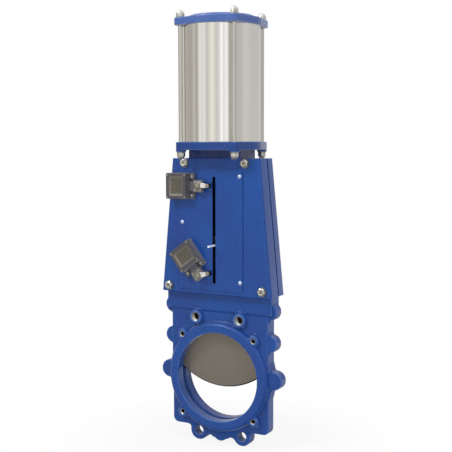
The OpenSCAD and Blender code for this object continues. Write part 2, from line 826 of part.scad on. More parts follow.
// Domed nut, standing on its open face
module cap_nut() {
    dome_r = nut_af*0.48;
    difference() {
        union() {
            intersection() {
                cylinder(r = nut_af/2/cos(30), h = nut_hex_h, $fn = 6);
                cylinder(r1 = nut_af/2 + 0.9 + nut_hex_h, r2 = nut_af/2 + 0.6, h = nut_hex_h);
            }
            intersection() {
                translate([0, 0, nut_h - dome_r]) sphere(dome_r);
                translate([0, 0, nut_hex_h - 1]) cylinder(r = nut_af, h = nut_h);
            }
            translate([0, 0, nut_hex_h - 2]) cylinder(r = nut_af*0.46, h = 2.6);
        }
        translate([0, 0, -1]) cylinder(r = tie_r + thread_gap, h = tie_grip + 1.5);
    }
}

module top_cap_nuts() {
    color(steel) at_tie_rods() translate([0, 0, up_head_top + tie_washer_t]) cap_nut();
}

module bottom_cap_nuts() {
    color(steel) at_tie_rods() translate([0, 0, low_head_z - ear_drop - tie_washer_t]) mirror([0, 0, 1]) cap_nut();
}

// Gate plate with the round knife edge below and two bolt holes at the top
module gate() {
    color(plate_grey) difference() {
        along_y(-gate_t/2, gate_t/2) {
            gate_outline(gate_z, gate_top - gate_taper, 0);
            polygon([[-gate_w/2, gate_top - 2*gate_taper], [gate_w/2, gate_top - 2*gate_taper],
                [gate_w/2, gate_top - gate_taper], [clevis_w/2 + 14, gate_top],
                [-clevis_w/2 - 14, gate_top], [-gate_w/2, gate_top - gate_taper]]);
        }
        for (s = [-1, 1]) rod_y(s*clevis_bolt_x, clevis_bolt_z, -gate_t, gate_t, clevis_bolt_d/2 + thread_gap);
        difference() {
            box(-gate_w, gate_w, -gate_t, knife - gate_t/2 + 0.5, gate_z - 1, gate_side_z - knife);
            translate([0, knife - gate_t/2 + 1, gate_z + gate_r]) rotate([90, 0, 0])
                cylinder(r1 = gate_r + 1, r2 = gate_r - 2*knife, h = 2*knife + 1);
        }
    }
}

module clevis() {
    color(steel) difference() {
        box(-clevis_w/2, clevis_w/2, -leg_y, leg_y, clevis_z, clevis_top);
        box(-clevis_w, clevis_w, -gate_t/2 - thread_gap, gate_t/2 + thread_gap, clevis_z - 1, gate_top + rest_gap);
        for (s = [-1, 1]) rod_y(s*clevis_bolt_x, clevis_bolt_z, -leg_y - 1, leg_y + 1, clevis_bolt_d/2 + thread_gap);
        rod_y(0, pin_z, -leg_y - 1, 0, pin_r + thread_gap);
        translate([0, 0, gate_top + 2]) cylinder(r = stub_d/2 + thread_gap, h = clevis_h);
    }
}

module clevis_bolts() {
    color(steel) for (s = [-1, 1]) {
        rod_y(s*clevis_bolt_x, clevis_bolt_z, -leg_y - 1, leg_y + 10, clevis_bolt_d/2);
        hex_y(s*clevis_bolt_x, clevis_bolt_z, -leg_y - plate_bolt_head, -leg_y, plate_bolt_af);
    }
}

module clevis_nuts() {
    color(steel) for (s = [-1, 1]) difference() {
        hex_y(s*clevis_bolt_x, clevis_bolt_z, leg_y, leg_y + 8, plate_bolt_af);
        rod_y(s*clevis_bolt_x, clevis_bolt_z, leg_y - 1, leg_y + 12, clevis_bolt_d/2 + thread_gap);
    }
}

module rod_lock_nut() {
    color(steel) translate([0, 0, clevis_top]) difference() {
        cylinder(r = stub_d*0.75/cos(30), h = lock_nut_t, $fn = 6);
        translate([0, 0, -1]) cylinder(r = stub_d/2 + thread_gap, h = lock_nut_t + 2);
    }
}

// Piston rod with a threaded stub at each end
module piston_rod() {
    z0 = gate_top + 3;
    z1 = clevis_top + lock_nut_t;
    color(steel) {
        translate([0, 0, z0]) cylinder(r = stub_d/2, h = z1 - z0 + 1);
        translate([0, 0, z1]) cylinder(r = rod_r, h = piston_z - z1);
        translate([0, 0, piston_z - 1]) cylinder(r = piston_stub_r, h = piston_t);
    }
}

// Grooves of the piston: two seals and the guide band between them
seal_groove = 5;
seal_depth = 6;
seal_z = [4, piston_t - 4 - seal_groove];
band_h = 7;
band_depth = 3;

module piston_ring(z, h, depth, lip) {
    translate([0, 0, piston_z + z]) difference() {
        cylinder(r = cyl_r - lip, h = h);
        translate([0, 0, -1]) cylinder(r = piston_r - depth, h = h + 2);
    }
}

module piston() {
    color(alu) difference() {
        translate([0, 0, piston_z]) cylinder(r = piston_r, h = piston_t);
        for (z = seal_z) piston_ring(z, seal_groove, seal_depth, -5);
        piston_ring((piston_t - band_h)/2, band_h, band_depth, -5);
        translate([0, 0, piston_z - 1]) cylinder(r = piston_stub_r + thread_gap, h = piston_t + 2);
        translate([0, 0, piston_z + piston_t - piston_recess]) cylinder(r = 24, h = piston_recess + 1);
    }
}

module piston_seals() {
    color(rubber) for (z = seal_z) piston_ring(z + thread_gap, seal_groove - 2*thread_gap, seal_depth - thread_gap, 0.03);
}

module piston_band() {
    color("white") piston_ring((piston_t - band_h)/2 + thread_gap, band_h - 2*thread_gap, band_depth - thread_gap, 0.05);
}

module piston_nut() {
    color(steel) translate([0, 0, piston_z + piston_t - piston_recess]) difference() {
        cylinder(r = 18/cos(30), h = piston_recess - 1, $fn = 6);
        translate([0, 0, -1]) cylinder(r = piston_stub_r + thread_gap, h = piston_recess + 2);
    }
}

// Trip pin, screwed into the clevis and standing out through the slot
module trip_pin() {
    color(white_zinc) {
        rod_y(0, pin_z, -pin_reach + 0.8, -gate_t/2 - 2, pin_r);
        translate([0, 0.8 - pin_reach, pin_z]) rotate([90, 0, 0]) cylinder(r1 = pin_r, r2 = pin_r - 0.8, h = 0.8);
    }
}

module trip_pin_nut() {
    color(steel) difference() {
        hex_y(0, pin_z, -leg_y - 4, -leg_y, 10);
        rod_y(0, pin_z, -leg_y - 5, 0, pin_r + thread_gap);
    }
}

// Switches. Each is drawn about the middle of its box, in X and Z, with its front at -Y
module at_upper() {
    translate([up_case[0], 0, up_case[1]]) children();
}

module at_lower() {
    translate([low_case[0], 0, low_case[1]]) rotate([0, low_turn, 0]) children();
}

module mount_pair(r, y0, y1) {
    for (s = [-1, 1]) rod_y(mount_u, s*mount_v, y0, y1, r);
}

module mount_holes(r, y0, y1) {
    at_upper() mount_pair(r, y0, y1);
    at_lower() mount_pair(r, y0, y1);
}

ear_u = case_w/2 + 13;
ear_rise = 5;
cover_screw = [case_w/2 - 4.5, case_h/2 - 4.5];
cover_screw_r = 1.5;

module switch_bracket() {
    color(case_grey) difference() {
        union() {
            box(-case_w/2, ear_u, -case_y, -switch_y, -case_h/2, case_h/2);
            for (s = [-1, 1]) scale([1, 1, s])
                box(case_w/2 + 1, ear_u, -case_y - ear_rise, -case_y + eps, mount_v - 6.5, case_h/2);
        }
        mount_pair(mount_d/2 + bolt_gap, -case_y - ear_rise - 1, -switch_y + 1);
    }
}

module switch_mount_screws() {
    y = case_y + ear_rise;
    color(white_zinc) {
        mount_pair(mount_d/2, -y - 1, -plate_y + sheet_t - 0.5);
        difference() {
            mount_pair(mount_d*0.72, -y - 3, -y);
            for (s = [-1, 1]) rod_y(mount_u, s*mount_v, -y - 4, -y - 1.5, 1.5);
        }
    }
}

// Box of the switch, with a neck to the head and a cable entry in the opposite side
module switch_body() {
    color(case_grey) difference() {
        union() {
            along_y(-case_y - body_d, -case_y) round_rect(case_w, case_h, 2.5);
            box(case_w/2 - 1, case_w/2 + 12.5, -head_y1 + 1, -head_y0, -11, 11);
        }
        along_y(-case_y - body_d - 1, -case_y - 2.5) round_rect(case_w - 14, case_h - 14, 3);
        translate([-case_w/2 - 1, -case_y - body_d/2, 0]) rotate([0, 90, 0]) cylinder(r = 5.2, h = 12);
        for (x = [-1, 1], z = [-1, 1])
            rod_y(x*cover_screw[0], z*cover_screw[1], -case_y - body_d - 1, -case_y - body_d + 9, cover_screw_r + thread_gap);
    }
}

// Cover with a raised frame round a sunk panel
module switch_cover() {
    y0 = -case_y - case_d;
    color(case_grey) difference() {
        union() {
            along_y(y0 + 2.5, y0 + cover_t) round_rect(case_w, case_h, 2.5);
            along_y(y0, y0 + 2.6) round_rect(case_w - 2, case_h - 2, 2.5);
        }
        translate([0, y0 + 3, 0]) rotate([90, 0, 0])
            linear_extrude(4, scale = 1.35) square([case_w - panel_rim[0], case_h - panel_rim[1]], center = true);
        for (x = [-1, 1], z = [-1, 1]) {
            rod_y(x*cover_screw[0], z*cover_screw[1], y0 - 1, y0 + cover_t + 1, cover_screw_r + thread_gap);
            rod_y(x*cover_screw[0], z*cover_screw[1], y0 - 1, y0 + 2.5, 2.8);
        }
    }
}

module switch_cover_screws() {
    y0 = -case_y - case_d;
    color(steel) for (x = [-1, 1], z = [-1, 1]) {
        rod_y(x*cover_screw[0], z*cover_screw[1], y0 + 1, y0 + cover_t + 8, cover_screw_r);
        difference() {
            rod_y(x*cover_screw[0], z*cover_screw[1], y0 + 0.5, y0 + 2.5, 2.4);
            box(x*cover_screw[0] - 0.4, x*cover_screw[0] + 0.4, y0, y0 + 1.3, z*cover_screw[1] - 3, z*cover_screw[1] + 3);
        }
    }
}

module switch_head() {
    color(case_grey) difference() {
        union() {
            along_y(-head_y1, -head_y0) {
                translate([pivot_u - 3, 0]) round_rect(head_size[0], head_size[1], 4);
                translate([case_w/2 + head_foot, -head_size[1]/2]) square([5, head_size[1]]);
            }
            rod_y(pivot_u, pivot_v, -head_y1 - 0.7, -head_y1 + eps, 6.5);
        }
        rod_y(pivot_u, pivot_v, -lever_y - 1, -head_y0 - 2, shaft_r + 0.03);
    }
}

// The lever parts are drawn from the pivot, with the arm along +X
module lever() {
    color(steel) difference() {
        along_y(-lever_y - lever_t, -lever_y) link([0, 0], 6.5, [lever_len, 0], 4.4);
        rod_y(0, 0, -lever_y - lever_t - 1, -lever_y + 1, shaft_r + thread_gap);
        rod_y(lever_len, 0, -lever_y - lever_t - 1, -lever_y + 1, roller_pin_r + thread_gap);
    }
}

module lever_shaft() {
    color(steel) {
        rod_y(0, 0, -lever_y - lever_t - 0.5, -head_y0 - 3, shaft_r);
        hex_y(0, 0, -lever_y - lever_t - 3, -lever_y - lever_t, 8);
    }
}

module roller_pin() {
    color(steel) {
        rod_y(lever_len, 0, -lever_y - lever_t - 0.5, -lever_y + rest_gap + roller_w + 0.5, roller_pin_r);
        rod_y(lever_len, 0, -lever_y - lever_t - 1, -lever_y - lever_t, roller_pin_r + 1);
        rod_y(lever_len, 0, -lever_y + rest_gap + roller_w + 0.2, -lever_y + rest_gap + roller_w + 1, roller_pin_r + 1);
    }
}

module roller() {
    color(alu) difference() {
        rod_y(lever_len, 0, -lever_y + rest_gap, -lever_y + rest_gap + roller_w, roller_r);
        rod_y(lever_len, 0, -lever_y - 1, -lever_y + roller_w + 2, roller_pin_r + 0.05);
    }
}

module at_upper_pivot() {
    translate([up_pivot[0], 0, up_pivot[1]]) rotate([0, -up_lever_a, 0]) children();
}

module at_lower_pivot() {
    translate([low_pivot[0], 0, low_pivot[1]]) rotate([0, -low_lever_a, 0]) children();
}

module upper_switch_bracket() { at_upper() switch_bracket(); }
module upper_switch_body() { at_upper() switch_body(); }
module upper_switch_cover() { at_upper() switch_cover(); }
module upper_switch_cover_screws() { at_upper() switch_cover_screws(); }
module upper_switch_mount_screws() { at_upper() switch_mount_screws(); }
module upper_switch_head() { at_upper() switch_head(); }
module upper_lever() { at_upper_pivot() lever(); }
module upper_lever_shaft() { at_upper_pivot() lever_shaft(); }
module upper_roller_pin() { at_upper_pivot() roller_pin(); }
module upper_roller() { at_upper_pivot() roller(); }
module lower_switch_bracket() { at_lower() switch_bracket(); }
module lower_switch_body() { at_lower() switch_body(); }
module lower_switch_cover() { at_lower() switch_cover(); }
module lower_switch_cover_screws() { at_lower() switch_cover_screws(); }
module lower_switch_mount_screws() { at_lower() switch_mount_screws(); }
module lower_switch_head() { at_lower() switch_head(); }
module lower_lever() { at_lower_pivot() lever(); }
module lower_lever_shaft() { at_lower_pivot() lever_shaft(); }
module lower_roller_pin() { at_lower_pivot() roller_pin(); }
module lower_roller() { at_lower_pivot() roller(); }

valve_body();
seat_seal();
seat_retainer();
gate_guides();
packing();
packing_gland();
gland_screws();
front_support_plate();
rear_support_plate();
support_plate_bolts();
support_plate_washers();
front_guard();
guard_screws();
cross_block();
cylinder_screws();
lower_head();
rod_bush();
rod_seal();
rod_wiper();
barrel();
barrel_seals();
upper_head();
tie_rods();
tie_rod_washers();
top_cap_nuts();
bottom_cap_nuts();
gate();
clevis();
clevis_bolts();
clevis_nuts();
rod_lock_nut();
piston_rod();
piston();
piston_seals();
piston_band();
piston_nut();
trip_pin();
trip_pin_nut();
upper_switch_bracket();
upper_switch_body();
upper_switch_cover();
upper_switch_cover_screws();
upper_switch_mount_screws();
upper_switch_head();
upper_lever();
upper_lever_shaft();
upper_roller_pin();
upper_roller();
lower_switch_bracket();
lower_switch_body();
lower_switch_cover();
lower_switch_cover_screws();
lower_switch_mount_screws();
lower_switch_head();
lower_lever();
lower_lever_shaft();
lower_roller_pin();
lower_roller();
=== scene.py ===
# Slide gate valve: looks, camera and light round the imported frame. Metres, Z up, origin at the bore's centre.
import json
import math

import bmesh
import bpy
from mathutils import Matrix, Vector

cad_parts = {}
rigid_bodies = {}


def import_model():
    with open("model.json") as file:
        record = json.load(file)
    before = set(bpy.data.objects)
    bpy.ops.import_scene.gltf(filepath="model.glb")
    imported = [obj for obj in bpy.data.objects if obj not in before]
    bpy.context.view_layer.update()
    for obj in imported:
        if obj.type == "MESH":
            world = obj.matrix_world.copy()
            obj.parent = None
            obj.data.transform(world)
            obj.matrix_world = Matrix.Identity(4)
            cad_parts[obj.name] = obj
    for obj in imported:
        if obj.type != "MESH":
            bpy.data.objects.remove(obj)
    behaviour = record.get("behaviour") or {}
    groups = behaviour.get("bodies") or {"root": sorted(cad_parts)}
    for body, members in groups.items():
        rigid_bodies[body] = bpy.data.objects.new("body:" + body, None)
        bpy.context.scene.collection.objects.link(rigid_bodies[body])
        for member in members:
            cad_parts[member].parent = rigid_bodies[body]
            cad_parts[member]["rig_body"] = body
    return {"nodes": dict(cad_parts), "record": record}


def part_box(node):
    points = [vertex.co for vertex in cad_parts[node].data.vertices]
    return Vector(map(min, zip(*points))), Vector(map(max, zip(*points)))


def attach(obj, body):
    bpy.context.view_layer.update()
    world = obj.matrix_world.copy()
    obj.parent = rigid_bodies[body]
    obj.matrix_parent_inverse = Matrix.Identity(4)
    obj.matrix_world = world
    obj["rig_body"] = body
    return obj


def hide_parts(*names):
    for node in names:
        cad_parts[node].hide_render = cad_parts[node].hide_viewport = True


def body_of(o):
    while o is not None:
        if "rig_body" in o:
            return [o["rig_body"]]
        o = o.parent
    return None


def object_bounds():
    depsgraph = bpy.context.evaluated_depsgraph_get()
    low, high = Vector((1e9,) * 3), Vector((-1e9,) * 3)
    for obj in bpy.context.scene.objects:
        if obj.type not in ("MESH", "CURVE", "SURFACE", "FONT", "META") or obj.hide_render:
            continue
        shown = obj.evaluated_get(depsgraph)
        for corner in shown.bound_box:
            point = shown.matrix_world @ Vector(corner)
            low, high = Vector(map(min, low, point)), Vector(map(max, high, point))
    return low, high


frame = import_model()
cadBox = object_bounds()
nodes = frame["nodes"]
record = frame["record"]
scene = bpy.context.scene
mm = 0.001
print("frame loaded:", len(nodes), "nodes")


# camera where the photo was taken, turned a hair about its own axis
cameraSettings = {"place": (1.0167, -1.8702, 0.5348), "target": (0.00782, 0.00422, 0.3470), "lens": 74.26,
                  "roll": -0.12}


def makeCamera(settings):
    data = bpy.data.cameras.new("photoCamera")
    data.lens = settings["lens"]
    data.sensor_width = 36
    data.clip_end = 50
    camera = bpy.data.objects.new("photoCamera", data)
    place = Vector(settings["place"])
    turn = (Vector(settings["target"]) - place).to_track_quat("-Z", "Y").to_matrix()
    camera.location = place
    camera.rotation_euler = (turn @ Matrix.Rotation(math.radians(settings["roll"]), 3, "Z")).to_euler()
    scene.collection.objects.link(camera)
    scene.camera = camera


def newFinish(name, **sockets):
    mat = bpy.data.materials.new(name)
    mat.use_nodes = True
    shader = mat.node_tree.nodes["Principled BSDF"]
    for key, value in sockets.items():
        shader.inputs[key.replace("_", " ")].default_value = value
    return mat, mat.node_tree, shader


def addNode(tree, kind, inputs=(), **settings):
    node = tree.nodes.new(kind)
    for key, value in settings.items():
        setattr(node, key, value)
    for key, value in dict(inputs).items():
        if isinstance(value, bpy.types.NodeSocket):
            tree.links.new(value, node.inputs[key])
        else:
            node.inputs[key].default_value = value
    return node


def objectCoords(tree, stretch=(1, 1, 1)):
    coords = addNode(tree, "ShaderNodeTexCoord").outputs["Object"]
    return addNode(tree, "ShaderNodeMapping", {"Vector": coords, "Scale": stretch}).outputs["Vector"]


def noiseOf(tree, coords, scale, detail, rough=0.5):
    inputs = {"Vector": coords, "Scale": scale, "Detail": detail, "Roughness": rough}
    return addNode(tree, "ShaderNodeTexNoise", inputs).outputs["Fac"]


def spread(tree, value, low, high, fromLow=0.3, fromHigh=0.7, **settings):
    inputs = {"Value": value, "From Min": fromLow, "From Max": fromHigh, "To Min": low, "To Max": high}
    return addNode(tree, "ShaderNodeMapRange", inputs, **settings).outputs["Result"]


def blendColours(tree, factor, first, second):
    node = addNode(tree, "ShaderNodeMix", data_type="RGBA")
    for index, value in ((0, factor), (6, first), (7, second)):
        if isinstance(value, bpy.types.NodeSocket):
            tree.links.new(value, node.inputs[index])
        else:
            node.inputs[index].default_value = value if index == 0 else (*value, 1)
    return node.outputs[2]


def addBump(tree, height, depth, strength, under=None):
    inputs = {"Height": height, "Distance": depth, "Strength": strength}
    if under is not None:
        inputs["Normal"] = under
    return addNode(tree, "ShaderNodeBump", inputs).outputs["Normal"]


# colours of the coat, depth of its grain, how much paler blue lies on outward edges as rubbed wear and painted
# highlight, and how much painted shade lies in inward corners
paintLook = {"base": (0.005, 0.057, 0.248), "deep": (0.008, 0.045, 0.208),
             "dust": (0.05, 0.10, 0.26), "dustShare": 0.10,
             "rough": (0.20, 0.34), "castGrain": 0.00022, "orangePeel": 0.00004,
             "rubbedHighlight": (0.14, 0.27, 0.56), "rubbedHighlightShare": 0.75, "rubbedHighlightFrom": 0.515, "rubbedHighlightTo": 0.565,
             "cornerShade": (0.006, 0.022, 0.11), "cornerShadeShare": 0.5, "cornerShadeFrom": 0.488, "cornerShadeTo": 0.45}
# how fine each pattern is, the higher the finer, and between which of its values the colours blend
patternScale = {"broad": 9, "dust": 60, "peel": 900, "sand": 420, "lump": 85, "cloud": 22}
patternRange = {"broad": (0.38, 0.66), "dust": (0.52, 0.8), "cloud": (0.45, 0.8)}


# edges: outward corners get a paler blue, rubbed wear with a painted highlight, and inward corners a deeper
# blue as painted shade, which takes a dense mesh
def makePaint(name, grain, look, edges=False):
    mat, tree, shader = newFinish(name, Specular_IOR_Level=0.38, Sheen_Weight=0.55, Sheen_Roughness=0.3)
    coords = objectCoords(tree)
    broad = noiseOf(tree, coords, patternScale["broad"], 4)
    dust = noiseOf(tree, coords, patternScale["dust"], 6, 0.65)
    colour = blendColours(tree, spread(tree, broad, 0, 1, *patternRange["broad"]), look["base"], look["deep"])
    share = spread(tree, dust, 0, look["dustShare"], *patternRange["dust"])
    colour = blendColours(tree, share, colour, look["dust"])
    if edges:
        corner = addNode(tree, "ShaderNodeNewGeometry").outputs["Pointiness"]
        # outward corners: paler blue, rubbed wear and painted highlight; inward corners: deeper blue, painted
        # shade
        for edgeTone in ("rubbedHighlight", "cornerShade"):
            share = spread(tree, corner, 0, look[edgeTone + "Share"], look[edgeTone + "From"], look[edgeTone + "To"])
            colour = blendColours(tree, share, colour, look[edgeTone])
    tree.links.new(colour, shader.inputs["Base Color"])
    tree.links.new(spread(tree, dust, *look["rough"]), shader.inputs["Roughness"])
    normal = addBump(tree, noiseOf(tree, coords, patternScale["peel"], 2), look["orangePeel"], 0.6)
    if grain:
        for pattern, times, strength in (("sand", 1, 0.5), ("lump", 2.4, 0.4)):
            height = noiseOf(tree, coords, patternScale[pattern], 3)
            normal = addBump(tree, height, grain*times, strength, normal)
    tree.links.new(normal, shader.inputs["Normal"])
    return mat


# look: base colour, how dark the grain runs, roughness, stretch and depth of the grain, tint and its share
def makeMetal(name, look):
    mat, tree, shader = newFinish(name, Metallic=look.get("metallic", 1.0))
    grain = noiseOf(tree, objectCoords(tree, look["stretch"]), 1.0, 4, 0.6)
    cloud = noiseOf(tree, objectCoords(tree), patternScale["cloud"], 5, 0.6)
    dark = tuple(c*look["grain"] for c in look["base"])
    colour = blendColours(tree, spread(tree, grain, 0, 1), dark, look["base"])
    share = spread(tree, cloud, 0, look.get("share", 0.15), *patternRange["cloud"])
    colour = blendColours(tree, share, colour, look.get("tint", (0.5, 0.45, 0.4)))
    tree.links.new(colour, shader.inputs["Base Color"])
    tree.links.new(spread(tree, grain, *look["rough"]), shader.inputs["Roughness"])
    tree.links.new(addBump(tree, grain, look["depth"], 0.6), shader.inputs["Normal"])
    return mat


# look: two colours that run into each other, roughness, how fine the pattern is and its depth
def makePlain(name, look):
    sockets = {"Specular_IOR_Level": look.get("specular", 0.5), "Sheen_Weight": look.get("sheen", 0.0)}
    mat, tree, shader = newFinish(name, **sockets)
    coords = objectCoords(tree)
    grain = noiseOf(tree, coords, look["scale"], 4, 0.6)
    broad = noiseOf(tree, coords, look["scale"]/12, 3)
    colour = blendColours(tree, spread(tree, broad, 0, 1), look["base"], look["second"])
    tree.links.new(colour, shader.inputs["Base Color"])
    tree.links.new(spread(tree, grain, *look["rough"]), shader.inputs["Roughness"])
    tree.links.new(addBump(tree, grain, look["depth"], 0.7), shader.inputs["Normal"])
    return mat


# the top head's coat is painted paler, a painted reflection of the light from above; the lower head's coat is
# painted deeper and the neck's deeper still, as painted shade under the head and plates
crownPaintedLightLook = {**paintLook, "rubbedHighlight": (0.22, 0.30, 0.48), "base": (0.055, 0.108, 0.300),
             "deep": (0.035, 0.085, 0.26), "dust": (0.16, 0.2, 0.34), "castGrain": 0.0004}
headPaintedShadeLook = {**paintLook, "base": (0.006, 0.046, 0.195), "deep": (0.009, 0.038, 0.165),
            "dust": (0.03, 0.06, 0.17)}
neckPaintedShadeLook = {**paintLook, "base": (0.008, 0.028, 0.125), "deep": (0.010, 0.024, 0.105),
            "dust": (0.02, 0.04, 0.12)}
finishes = {
    "castBluePaint": makePaint("castBluePaint", paintLook["castGrain"], paintLook, edges=True),
    "crownBluePaintedLight": makePaint("crownBluePaintedLight", crownPaintedLightLook["castGrain"], crownPaintedLightLook, edges=True),
    "sheetBluePaint": makePaint("sheetBluePaint", 0, paintLook),
    "headBluePaintedShade": makePaint("headBluePaintedShade", headPaintedShadeLook["castGrain"], headPaintedShadeLook, edges=True),
    "neckBluePaintedShade": makePaint("neckBluePaintedShade", neckPaintedShadeLook["castGrain"], neckPaintedShadeLook)}

metalLooks = {
    "groundGateSteel": {"base": (0.272, 0.248, 0.198), "grain": 0.8, "rough": (0.36, 0.52),
                        "stretch": (700, 700, 6), "depth": 0.00002, "share": 0.3, "tint": (0.205, 0.187, 0.148),
                        "metallic": 0.6},
    # the gate's edge faces in darker steel: painted shade
    "gateEdgePaintedShade": {"base": (0.10, 0.095, 0.09), "grain": 0.75, "rough": (0.4, 0.55),
                      "stretch": (400, 400, 400), "depth": 0.00002},
    "stainlessBolts": {"base": (0.46, 0.45, 0.41), "grain": 0.72, "rough": (0.24, 0.38),
                       "stretch": (500, 500, 500), "depth": 0.00001, "share": 0.3, "tint": (0.36, 0.33, 0.27)},
    # paler steel for the bolt heads' chamfer ring: painted highlight
    "boltRimHighlight": {"base": (0.90, 0.89, 0.85), "grain": 0.85, "rough": (0.3, 0.42),
                       "stretch": (500, 500, 500), "depth": 0.00001, "share": 0.1},
    "boltMiddles": {"base": (0.36, 0.345, 0.29), "grain": 0.7, "rough": (0.4, 0.55), "stretch": (500, 500, 500),
                    "depth": 0.00002},
    "domedNuts": {"base": (0.78, 0.77, 0.73), "grain": 0.75, "rough": (0.28, 0.42), "stretch": (500, 500, 500),
                  "depth": 0.00001, "share": 0.2, "tint": (0.5, 0.48, 0.42)},
    "drawnRods": {"base": (0.70, 0.69, 0.655), "grain": 0.88, "rough": (0.11, 0.17), "stretch": (500, 500, 5),
                  "depth": 0.000001},
    "turnedSteel": {"base": (0.66, 0.66, 0.65), "grain": 0.85, "rough": (0.14, 0.24), "stretch": (30, 30, 1600),
                    "depth": 0.000006},
    "drawnBarrelAlloy": {"base": (0.90, 0.885, 0.86), "grain": 0.94, "rough": (0.06, 0.09),
                         "stretch": (260, 260, 1.5), "depth": 0.0000008, "share": 0.04},
    "turnedPistonAlloy": {"base": (0.72, 0.72, 0.73), "grain": 0.88, "rough": (0.2, 0.32),
                          "stretch": (30, 30, 1500), "depth": 0.000008},
    "brightZinc": {"base": (0.50, 0.60, 0.80), "grain": 0.9, "rough": (0.3, 0.45), "stretch": (300, 300, 300),
                   "depth": 0.000008, "metallic": 0.35, "share": 0.0},
    "dullZinc": {"base": (0.50, 0.50, 0.53), "grain": 0.8, "rough": (0.35, 0.5), "stretch": (300, 300, 300),
                 "depth": 0.00001},
    "bareThreads": {"base": (0.62, 0.62, 0.58), "grain": 0.6, "rough": (0.2, 0.34), "stretch": (300, 300, 300),
                    "depth": 0.00001},
    "leverSteel": {"base": (0.74, 0.73, 0.68), "grain": 0.9, "rough": (0.32, 0.45), "stretch": (500, 500, 500),
                   "depth": 0.00001, "metallic": 0.5, "share": 0.05},
    "castLeverHub": {"base": (0.36, 0.35, 0.28), "grain": 0.7, "rough": (0.35, 0.5), "stretch": (500, 500, 500),
                     "depth": 0.00002, "metallic": 0.6},
    "bushBronze": {"base": (0.55, 0.38, 0.16), "grain": 0.85, "rough": (0.25, 0.38), "stretch": (30, 30, 1500),
                   "depth": 0.000008}}
plainLooks = {
    "sealRubber": {"base": (0.014, 0.014, 0.015), "second": (0.022, 0.021, 0.020), "rough": (0.5, 0.7),
                   "scale": 1800, "depth": 0.00002},
    # near black, dull finish of the deep threads and hole bottoms: painted shade
    "paintedHoleShade": {"base": (0.012, 0.012, 0.016), "second": (0.02, 0.02, 0.02), "rough": (0.6, 0.8),
                    "scale": 1200, "depth": 0.00003, "specular": 0.15},
    # near black slot walls: painted shade
    "paintedSlotShade": {"base": (0.004, 0.008, 0.03), "second": (0.006, 0.007, 0.02), "rough": (0.5, 0.7),
                    "scale": 1200, "depth": 0.00002, "specular": 0.1},
    # the seat seal in a pale paint blue: painted light that lifts the shade in the gate's groove
    "seatPaintedLight": {"base": (0.045, 0.11, 0.34), "second": (0.035, 0.09, 0.29), "rough": (0.4, 0.6),
                     "scale": 1200, "depth": 0.00002},
    "rollerPlastic": {"base": (0.006, 0.006, 0.008), "second": (0.012, 0.011, 0.012), "rough": (0.4, 0.55),
                      "scale": 1500, "depth": 0.00001, "specular": 0.3},
    "slidePlastic": {"base": (0.78, 0.77, 0.72), "second": (0.72, 0.71, 0.66), "rough": (0.38, 0.5),
                     "scale": 900, "depth": 0.00001},
    "packingYarn": {"base": (0.55, 0.50, 0.38), "second": (0.40, 0.36, 0.26), "rough": (0.8, 0.95),
                    "scale": 700, "depth": 0.0002},
    "switchHousing": {"base": (0.068, 0.069, 0.082), "second": (0.052, 0.053, 0.064), "rough": (0.3, 0.5),
                      "scale": 1500, "depth": 0.00004, "sheen": 0.5},
    "switchCoverEdge": {"base": (0.044, 0.044, 0.048), "second": (0.034, 0.034, 0.038), "rough": (0.3, 0.5),
                        "scale": 1500, "depth": 0.00004, "sheen": 0.4},
    # paler finish for the covers' sloping frame: painted highlight
    "switchFrameHighlight": {"base": (0.150, 0.145, 0.114), "second": (0.115, 0.110, 0.086), "rough": (0.5, 0.65),
                    "scale": 1500, "depth": 0.00004},
    "switchHeadCast": {"base": (0.165, 0.168, 0.128), "second": (0.10, 0.102, 0.075), "rough": (0.28, 0.45),
                       "scale": 1100, "depth": 0.00012},
    "whitePin": {"base": (0.80, 0.86, 0.93), "second": (0.72, 0.78, 0.88), "rough": (0.3, 0.45), "scale": 900,
                 "depth": 0.00001},
    "switchPanel": {"base": (0.105, 0.099, 0.070), "second": (0.042, 0.038, 0.027), "rough": (0.45, 0.65),
                    "scale": 4200, "depth": 0.00012}}
finishes.update({name: makeMetal(name, look) for name, look in metalLooks.items()})
finishes.update({name: makePlain(name, look) for name, look in plainLooks.items()})

# the finish of each of the record's slots, and of the nodes that differ from their slot
slotFinish = {"blue_paint": "sheetBluePaint", "gate_steel": "groundGateSteel", "stainless": "stainlessBolts",
              "barrel_alloy": "drawnBarrelAlloy", "piston_alloy": "turnedPistonAlloy", "zinc": "brightZinc",
              "seal_rubber": "sealRubber", "bush_bronze": "bushBronze", "guide_plastic": "slidePlastic",
              "packing_yarn": "packingYarn", "switch_housing": "switchHousing", "switch_lever": "leverSteel"}
nodeFinish = {"valve_body": "castBluePaint", "seat_seal": "seatPaintedLight", "seat_retainer": "sheetBluePaint",
              "lower_head": "headBluePaintedShade", "upper_head": "crownBluePaintedLight", "cross_block": "neckBluePaintedShade",
              "tie_rods": "drawnRods", "piston_rod": "turnedSteel", "trip_pin": "whitePin"}
switchFinish = {"roller": "rollerPlastic", "lever_shaft": "castLeverHub", "roller_pin": "castLeverHub",
                "switch_mount_screws": "dullZinc", "switch_cover_screws": "castLeverHub"}
for side in ("upper_", "lower_"):
    nodeFinish.update({side + piece: finish for piece, finish in switchFinish.items()})
slotOf = {part["node"]: part["material_slot"] for part in record["subparts"]}
print("finishes made:", len(finishes))


def setFinish(obj, *names):
    obj.data.materials.clear()
    for name in names:
        obj.data.materials.append(finishes[name])


def finishOf(node):
    return nodeFinish.get(node, slotFinish[slotOf[node]])


def dressFrame():
    for node in nodes:
        setFinish(nodes[node], finishOf(node))


# puts a built piece in place of its CAD nodes, on their body
def stand(obj, *sources):
    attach(obj, body_of(nodes[sources[0]])[0])
    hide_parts(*sources)
    return obj


